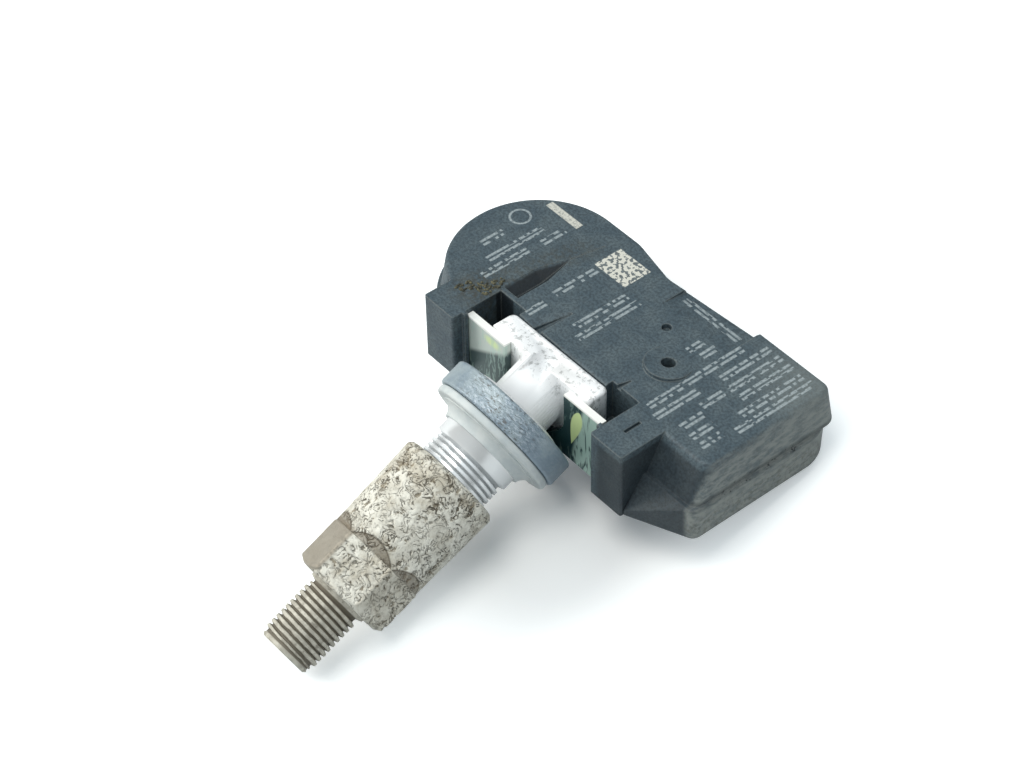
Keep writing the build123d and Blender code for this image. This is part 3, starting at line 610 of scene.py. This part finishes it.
# Threaded stretches: crest radius, root radius, first and last distance along the stem, pitch
STEM_THREAD = {"crest": 5.15, "root": 4.75, "start": 8.9, "end": 27.5, "pitch": 0.75}
TIP_THREAD = {"crest": 3.85, "root": 3.38, "start": 32.5, "end": 40.9, "pitch": 0.8}

stem_mesh = merged_copy("stem_body", "valve_stem")
to_stem = Matrix.Scale(1 / MM, 4) @ stem_frame.inverted()
from_stem = stem_frame @ Matrix.Scale(MM, 4)
stem_mesh.transform(to_stem)
turned_down = 0
for vertex in stem_mesh.vertices:
    reach = math.hypot(vertex.co.x, vertex.co.y)
    for thread in (STEM_THREAD, TIP_THREAD):
        on_crest = abs(reach - thread["crest"]) < 0.02
        if on_crest and thread["start"] - 0.05 < vertex.co.z < thread["end"] + 0.05:
            vertex.co.xy *= thread["root"] / reach
            turned_down += 1
stem_mesh.transform(from_stem)
smooth_faces(stem_mesh)
show("stem_body", stem_mesh, stem_material, "sensor", "stem_aluminium", "valve_stem")
print("points turned down:", turned_down)

# %% [markdown]
# A Geometry Nodes tree winds the ridge of a thread: a spiral that carries a trapezoid, fading
# out over the last turn at both ends. A little noise bends the crests of the weathered tip. The
# tree works in millimetres along the stem, and the result is laid on the stem afterwards.


# %% Thread tree
THREAD_STEPS = 72
RIDGE_SINK = 0.06
RIDGE_FOOT = 0.92
RIDGE_TOP = 0.46


class Modifier(Nodes):
    """A Geometry Nodes tree with named inputs."""

    def __init__(self, name, *inputs):
        super().__init__(bpy.data.node_groups.new(name, "GeometryNodeTree"))
        ports = self.tree.interface
        ports.new_socket("Geometry", in_out="INPUT", socket_type="NodeSocketGeometry")
        self.keys = {
            key: ports.new_socket(key, in_out="INPUT", socket_type="NodeSocketFloat").identifier
            for key in inputs
        }
        ports.new_socket("Geometry", in_out="OUTPUT", socket_type="NodeSocketGeometry")
        self.start = self.tree.nodes.new("NodeGroupInput")
        self.end = self.tree.nodes.new("NodeGroupOutput")

    def take(self, name):
        return Wire(self, self.start.outputs[name])

    def close(self, geometry, material):
        real = self.add("GeometryNodeRealizeInstances", None, {0: geometry})
        dressed = self.add("GeometryNodeSetMaterial", None, {"Geometry": real, "Material": material})
        self.plug(self.end.inputs[0], dressed)

    def run(self, name, mesh, **values):
        """Runs the tree on a mesh and returns the result as a plain mesh."""
        carrier = bpy.data.objects.new(name, mesh)
        scene.collection.objects.link(carrier)
        modifier = carrier.modifiers.new(name, "NODES")
        modifier.node_group = self.tree
        for key, value in values.items():
            modifier[self.keys[key]] = value
        graph = bpy.context.evaluated_depsgraph_get()
        result = bpy.data.meshes.new_from_object(carrier.evaluated_get(graph))
        bpy.data.objects.remove(carrier)
        return result


winding = Modifier("screw_thread", "root", "height", "pitch", "length", "nicks")
root, height, pitch = (winding.take(key) for key in ("root", "height", "pitch"))
turns = winding.take("length") / pitch
spiral = winding.add("GeometryNodeCurveSpiral", None, {
    "Resolution": THREAD_STEPS, "Rotations": turns, "Start Radius": root,
    "End Radius": root, "Height": winding.take("length"),
})
upright = winding.add("GeometryNodeSetCurveNormal", {"mode": "Z_UP"}, {0: spiral})
from_start = winding.add("GeometryNodeSplineParameter") * turns
fade = from_start.math("MINIMUM", turns - from_start).math("MINIMUM", 1.0)
ridge_depth = height + RIDGE_SINK
ridge = winding.add("GeometryNodeCurvePrimitiveQuadrilateral", {"mode": "TRAPEZOID"}, {
    "Bottom Width": pitch * RIDGE_FOOT, "Top Width": pitch * RIDGE_TOP,
    "Height": ridge_depth, "Offset": 0.0,
})
lift = winding.add("ShaderNodeCombineXYZ", None, {0: RIDGE_SINK - ridge_depth * 0.5})
ridge = winding.add("GeometryNodeTransform", None, {
    0: ridge, "Translation": lift, "Rotation": (0, 0, math.pi / 2),
})
wound = winding.add("GeometryNodeCurveToMesh", None, {0: upright, 1: ridge, "Scale": fade, "Fill Caps": True})
place = winding.add("GeometryNodeInputPosition")
dents = (winding.noise(place, 0.9, 3.0, 0.6) - 0.5) * winding.take("nicks")
shove = winding.add("ShaderNodeVectorMath", {"operation": "SCALE"}, {0: place, "Scale": dents})
bent = winding.add("GeometryNodeSetPosition", None, {0: wound, "Offset": shove})
winding.close(bent, stem_material)
print("thread tree:", len(winding.tree.nodes), "nodes")


# %% Wind both threads
def wind(name, thread, nicks):
    mesh = winding.run(
        name, bpy.data.meshes.new(name), root=thread["root"], height=thread["crest"] - thread["root"],
        pitch=thread["pitch"], length=thread["end"] - thread["start"], nicks=nicks,
    )
    reach = [math.hypot(vertex.co.x, vertex.co.y) for vertex in mesh.vertices]
    print(name, "from radius", round(min(reach), 3), "to", round(max(reach), 3))
    mesh.transform(from_stem @ Matrix.Translation((0, 0, thread["start"])))
    smooth_faces(mesh)
    return show(name, mesh, stem_material, "sensor", "stem_aluminium")


wind("stem_thread", STEM_THREAD, 0.0)
wind("tip_thread", TIP_THREAD, 0.05)

# %% [markdown]
# ## The corroded nut
# Salt has eaten the nut: a bone-white oxide crust with brown, worm-like pits. The solid is
# copied and meshed finely, and a second tree sinks the pits into it. The finish below uses the
# same pattern for its colour, so each pit is dark where it is deep. One flat of the hexagon was
# rubbed smooth by a spanner. Where the cutter of the flats ran out into the sleeve, the crescents
# get a painted brown shade with a darker painted line at their rim, and the flat on the far side
# from the light gets a painted shade.

# %% Pit pattern shared by shape and colour
NUT_GRID = 0.16
SMOOTH_FLAT = math.radians(126.2)
SHADED_FLAT = math.radians(6.2)
HEX_START = 25.4
WORM_LINES = 6.0


def pit_pattern(tree, spot):
    """Short worm-like pits and broad blotches, both from 0 to 1, in stem millimetres."""
    side, rise, along = tree.axes(spot)
    wander = tree.noise(tree.stretch(spot, (1.0, 1.0, 1.3)), 0.6, 2.0, 0.45, 1.2)
    contour = (wander * WORM_LINES).math("FRACT")
    lines = 1 - tree.step(abs(contour - 0.5), 0.07, 0.19)
    broken = tree.step(tree.noise(spot, 0.75, 2.0, 0.5), 0.42, 0.52)
    near_rear = 1 - tree.step(along, 13.5, 17.5)
    crowd = tree.step(tree.noise(spot, 0.2, 2.0, 0.5) + near_rear * 0.12, 0.4, 0.62)
    worms = lines * broken * (0.55 + crowd * 0.45)
    blotches = tree.step(tree.noise(spot, 0.7, 4.0, 0.62, 0.5) + crowd * 0.05, 0.63, 0.69)
    flat_reach = side * math.cos(SMOOTH_FLAT) + rise * math.sin(SMOOTH_FLAT)
    rubbed = tree.step(flat_reach, 5.4, 5.75) * tree.step(along, HEX_START - 0.9, HEX_START - 0.2)
    rough = 1 - rubbed
    return worms * rough, blotches * rough, rubbed


# %% Nut finish
OXIDE = colour(243, 240, 228)
OXIDE_GREY = colour(214, 210, 197)
PATINA_AND_SHADE = colour(176, 163, 138)
PIT_BROWN = colour(128, 115, 92)
WORM_PIT_AND_SHADE = colour(82, 73, 56)
RUBBED = colour(160, 151, 136)
RUNOUT_SHADE = colour(116, 103, 84)
HEX_STEP = math.radians(60.0)
RUNOUT_LENGTH = 1.5

nut_finish = Finish("nut_aluminium")
spot = nut_finish.place(stem_frame)
side, rise, along = nut_finish.axes(spot)
radius = (side ** 2 + rise ** 2) ** 0.5
worms, blotches, rubbed = pit_pattern(nut_finish, spot)
drift = nut_finish.noise(spot, 0.45, 4.0, 0.6)
fine = nut_finish.noise(spot, 4.0, 4.0, 0.65)
freckles = nut_finish.step(nut_finish.noise(spot, 2.2, 4.0, 0.7, 0.6), 0.55, 0.64)
past_sleeve = along - HEX_START
on_hex = nut_finish.step(past_sleeve, -0.1, 0.1)
# Painted shade: the hexagon flat that faces away from the light is painted darker in the patina tone.
shaded_flat_reach = side * math.cos(SHADED_FLAT) + rise * math.sin(SHADED_FLAT)
shaded_flat = nut_finish.step(shaded_flat_reach, 5.6, 5.85) * on_hex
turn = rise.math("ARCTAN2", side)
from_flat = ((turn - SHADED_FLAT) / HEX_STEP + 6.5).math("FRACT") * 2 - 1
bulge = (1 - from_flat ** 2) * RUNOUT_LENGTH + 0.001
ramp = (past_sleeve + bulge) / bulge
# Painted shade: the crescents where the flats run out into the sleeve are painted brown-dark, with a darker
# painted line along their rim.
runout = nut_finish.band(ramp, 0.0, 1.0, 0.05) * nut_finish.step(radius, 5.3, 5.5)
runout_edge_shade = nut_finish.band(past_sleeve + bulge, -0.1, 0.14, 0.08) * nut_finish.step(bulge, 0.1, 0.3)
crust = nut_finish.blend(nut_finish.step(drift, 0.35, 0.65), OXIDE, OXIDE_GREY)
near_rear = 1 - nut_finish.step(along, 13.0, 18.0)
patina = nut_finish.step(nut_finish.noise(spot, 0.28, 4.0, 0.65) + near_rear * 0.1, 0.5, 0.68)
crust = nut_finish.blend(patina * 0.45, crust, PATINA_AND_SHADE)
crust = nut_finish.blend(freckles * (0.08 + near_rear * 0.4), crust, PIT_BROWN)
crust = nut_finish.blend(blotches * 0.75, crust, PIT_BROWN)
crust = nut_finish.blend(worms * 0.85, crust, WORM_PIT_AND_SHADE)
crust = nut_finish.blend(shaded_flat * 0.25, crust, PATINA_AND_SHADE)
crust = nut_finish.blend(rubbed * (0.8 + drift * 0.2), crust, RUBBED)
crust = nut_finish.blend(runout * (0.35 + fine * 0.6), crust, RUNOUT_SHADE)
relief = fine * 0.3 - freckles * 0.2 - worms * 0.7 - runout * ramp * 1.2
nut_material = nut_finish.wear(
    Base_Color=nut_finish.blend(runout_edge_shade * 0.6, crust, WORM_PIT_AND_SHADE),
    Roughness=0.55 + fine * 0.25 - rubbed * 0.15,
    Metallic=0.05 + rubbed * 0.3,
    Normal=nut_finish.bump(relief, 0.28, 0.9),
)
print("nut finish:", len(nut_finish.tree.nodes), "nodes")

# %% Sink the pits
WORM_DEPTH = 0.2
BLOTCH_DEPTH = 0.16
PIT_SKIN = (5.45, 5.7)

nut_mesh = merged_copy("nut_shape", "collar_nut")
nut_mesh.transform(to_stem)
carrier = bpy.data.objects.new("nut_shape", nut_mesh)
scene.collection.objects.link(carrier)
grid = carrier.modifiers.new("grid", "REMESH")
grid.mode = "VOXEL"
grid.voxel_size = NUT_GRID
nut_grid = bpy.data.meshes.new_from_object(carrier.evaluated_get(bpy.context.evaluated_depsgraph_get()))
bpy.data.objects.remove(carrier)

pitting = Modifier("pitted_skin", "worm_depth", "blotch_depth")
place = pitting.add("GeometryNodeInputPosition")
side, rise, along = pitting.axes(place)
worms, blotches, rubbed = pit_pattern(pitting, place)
outer = pitting.step((side ** 2 + rise ** 2) ** 0.5, *PIT_SKIN)
depth = (worms * pitting.take("worm_depth") + blotches * pitting.take("blotch_depth")) * outer
facing = pitting.add("GeometryNodeInputNormal")
sink = pitting.add("ShaderNodeVectorMath", {"operation": "SCALE"}, {0: facing, "Scale": 0 - depth})
pitted = pitting.add("GeometryNodeSetPosition", None, {0: pitting.take("Geometry"), "Offset": sink})
pitting.close(pitted, nut_material)
nut_skin = pitting.run("nut_skin", nut_grid, worm_depth=WORM_DEPTH, blotch_depth=BLOTCH_DEPTH)
nut_skin.transform(from_stem)
nut_skin.shade_smooth()
show("nut_skin", nut_skin, nut_material, "nut", "nut_aluminium", "collar_nut")
print("nut skin:", len(nut_skin.polygons), "faces")

# %% [markdown]
# ## Ring and plate
# The backing ring is satin and blue-grey, with scratches and specks where it rubbed on the rim.
# The retaining plate is bright steel that mirrors the room in teal and yellow-green patches, so
# those tones are painted into its finish.

# %% Ring finish
RING_BLUE = colour(136, 153, 166)
RING_PALE_AND_LIT = colour(160, 174, 180)
RING_SCRATCH = colour(214, 222, 230)
RING_DIRT = colour(92, 86, 80)
RING_MIDDLE = 9.1

ring_finish = Finish("ring_aluminium", Metallic=0.25)
spot = ring_finish.place(stem_frame)
side, rise, along = ring_finish.axes(spot)
turn = rise.math("ARCTAN2", side)
radius = (side ** 2 + rise ** 2) ** 0.5
unrolled = ring_finish.add("ShaderNodeCombineXYZ", None, {0: turn * RING_MIDDLE, 1: along, 2: radius})
drift = ring_finish.noise(unrolled, 0.3, 4.0, 0.6)
fine = ring_finish.noise(spot, 3.0, 4.0, 0.7)
streaks = ring_finish.noise(ring_finish.stretch(unrolled, (0.6, 1.5, 1.0)), 2.4, 6.0, 0.75, 0.8)
scratch = ring_finish.step(streaks, 0.52, 0.6)
dirt = 1 - ring_finish.step(streaks, 0.4, 0.48)
rubbed = ring_finish.band(turn, 0.55, 1.75, 0.3)
# Partly painted light: besides a random drift, the pale tone is favoured towards one side around the ring, as
# light falling there.
skin = ring_finish.blend(ring_finish.step(drift + turn * 0.06, 0.42, 0.72), RING_BLUE, RING_PALE_AND_LIT)
skin = ring_finish.blend(dirt * (0.1 + rubbed * 0.65), skin, RING_DIRT)
skin = ring_finish.blend(scratch * (0.08 + rubbed * 0.55), skin, RING_SCRATCH)
dress(ring_finish.wear(
    Base_Color=skin,
    Roughness=0.36 + fine * 0.2,
    Normal=ring_finish.bump(fine * 0.5 + streaks * 0.5, 0.05, 0.6),
), "collar_ring")
print("ring finish:", len(ring_finish.tree.nodes), "nodes")

# %% Plate finish
STEEL = colour(206, 216, 208)
TEAL = colour(30, 62, 66)
TEAL_PALE = colour(186, 214, 202)
YELLOW_GREEN = colour(226, 244, 176)
TOP_EDGE_HIGHLIGHT = colour(250, 250, 245)
LEFT_GLINT = (-4.0, -1.9)
# The leaf-shaped reflection: where it starts, its length, and how far it leans
LEAF = {"x": 8.5, "z": -1.6, "length": 6.4, "lean": 1.5, "half": 1.05}

plate_finish = Finish("plate_steel")
spot = plate_finish.place(deck_frame)
x, y, z = plate_finish.axes(spot)
swirl = plate_finish.noise(plate_finish.stretch(spot, (1.6, 1.0, 0.3)), 0.8, 3.0, 0.6, 0.8)
right_wing = plate_finish.step(x, -1.0, 1.0)
down = (LEAF["z"] - z) / LEAF["length"]
from_top = down.math("MAXIMUM", 0.0).math("MINIMUM", 1.0)
leaf_half = (from_top ** 0.65 * math.pi).math("SINE") * LEAF["half"] + 0.001
from_leaf = abs(x - LEAF["x"] + down * LEAF["lean"])
leaf = (1 - plate_finish.step(from_leaf / leaf_half, 0.8, 1.0)) * plate_finish.band(down, 0.0, 1.0, 0.02)
streak = plate_finish.step(swirl, 0.55, 0.6)
far_side = plate_finish.step(x + down * LEAF["lean"], 8.6, 9.4)
pale_streak = plate_finish.step(swirl, 0.36, 0.5) * far_side
right_face = plate_finish.blend((streak * 0.25).math("MAXIMUM", pale_streak * 0.95), TEAL, TEAL_PALE)
right_face = plate_finish.blend(leaf, right_face, YELLOW_GREEN)
low_left = plate_finish.step(x * 0.55 - z, -1.2, -0.2)
left_face = plate_finish.blend(low_left * 0.9, STEEL, TEAL)
left_glint = plate_finish.spot(x * 0.5, z, LEFT_GLINT, 0.3, 1.0)
left_face = plate_finish.blend(left_glint * 0.8, left_face, YELLOW_GREEN)
left_face = plate_finish.blend(streak * 0.4, left_face, TEAL_PALE)
face = plate_finish.blend(right_wing, left_face, right_face)
# Painted highlight: the narrow top edge, which mirrors the bright room above, is painted near white and not
# metallic.
top_edge_highlight = plate_finish.step(z, -0.95, -0.8)
dress(plate_finish.wear(
    Base_Color=plate_finish.blend(top_edge_highlight, face, TOP_EDGE_HIGHLIGHT),
    Metallic=0.3 - top_edge_highlight * 0.3,
    Roughness=0.3 + swirl * 0.1,
), "retaining_plate")
print("plate finish:", len(plate_finish.tree.nodes), "nodes")

# %% [markdown]
# ## Dirt behind the arm
# Crumbs of yellow-brown soil lie on the arm's top, where the lobe begins. A third tree scatters
# small uneven lumps over a patch of that surface and sinks each a little into it.

# %% Crumbs
CRUMB_PATCH = [
    (-17.2, 3.6), (-15.9, 4.2), (-14.9, 5.4), (-13.6, 5.8), (-13.6, 8.0), (-14.0, 9.5),
    (-15.0, 9.2), (-14.9, 7.4), (-16.2, 6.6), (-17.3, 5.6),
]
CRUMB_SEED = 4
CRUMB_SIZES = {"density": 12.0, "smallest": 0.06, "largest": 0.22}

crumb_finish = two_tone("crumb_soil", colour(112, 108, 84), colour(50, 51, 45), 0.8, 0.0, 1.6, 0.05)
patch = bpy.data.meshes.new("crumb_patch")
patch.from_pydata([(px, py, 0.0) for px, py in CRUMB_PATCH], [], [tuple(range(len(CRUMB_PATCH)))])
scatter = Modifier("scattered_crumbs", "density", "smallest", "largest")
points = scatter.add("GeometryNodeDistributePointsOnFaces", {"distribute_method": "RANDOM"}, {
    0: scatter.take("Geometry"), "Density": scatter.take("density"), "Seed": CRUMB_SEED,
})
lump = scatter.add("GeometryNodeMeshIcoSphere", None, {"Radius": 1.0, "Subdivisions": 2})
bend = scatter.add("ShaderNodeTexNoise", None, {"Scale": 1.4, "Detail": 2.0}, out=1)
bend = scatter.add("ShaderNodeVectorMath", {"operation": "SUBTRACT"}, {0: bend, 1: (0.5, 0.5, 0.5)})
lump = scatter.add("GeometryNodeSetPosition", None, {0: lump, "Offset": bend})
size = scatter.add("FunctionNodeRandomValue", {"data_type": "FLOAT"}, {
    2: scatter.take("smallest"), 3: scatter.take("largest"), "Seed": CRUMB_SEED + 1,
}, out=1)
spin = scatter.add("FunctionNodeRandomValue", {"data_type": "FLOAT_VECTOR"}, {
    0: (0, 0, 0), 1: (math.tau, math.tau, math.tau), "Seed": CRUMB_SEED + 2,
})
crumbs = scatter.add("GeometryNodeInstanceOnPoints", None, {
    0: points, 2: lump, "Rotation": spin, "Scale": size,
})
scatter.close(crumbs, crumb_finish)
crumb_mesh = scatter.run("soil_crumbs", patch, **CRUMB_SIZES)
crumb_mesh.transform(deck_frame @ Matrix.Scale(MM, 4))
crumb_mesh.shade_smooth()
show("soil_crumbs", crumb_mesh, crumb_finish, "sensor", "housing_plastic")
print("crumbs:", len(crumb_mesh.polygons), "faces")
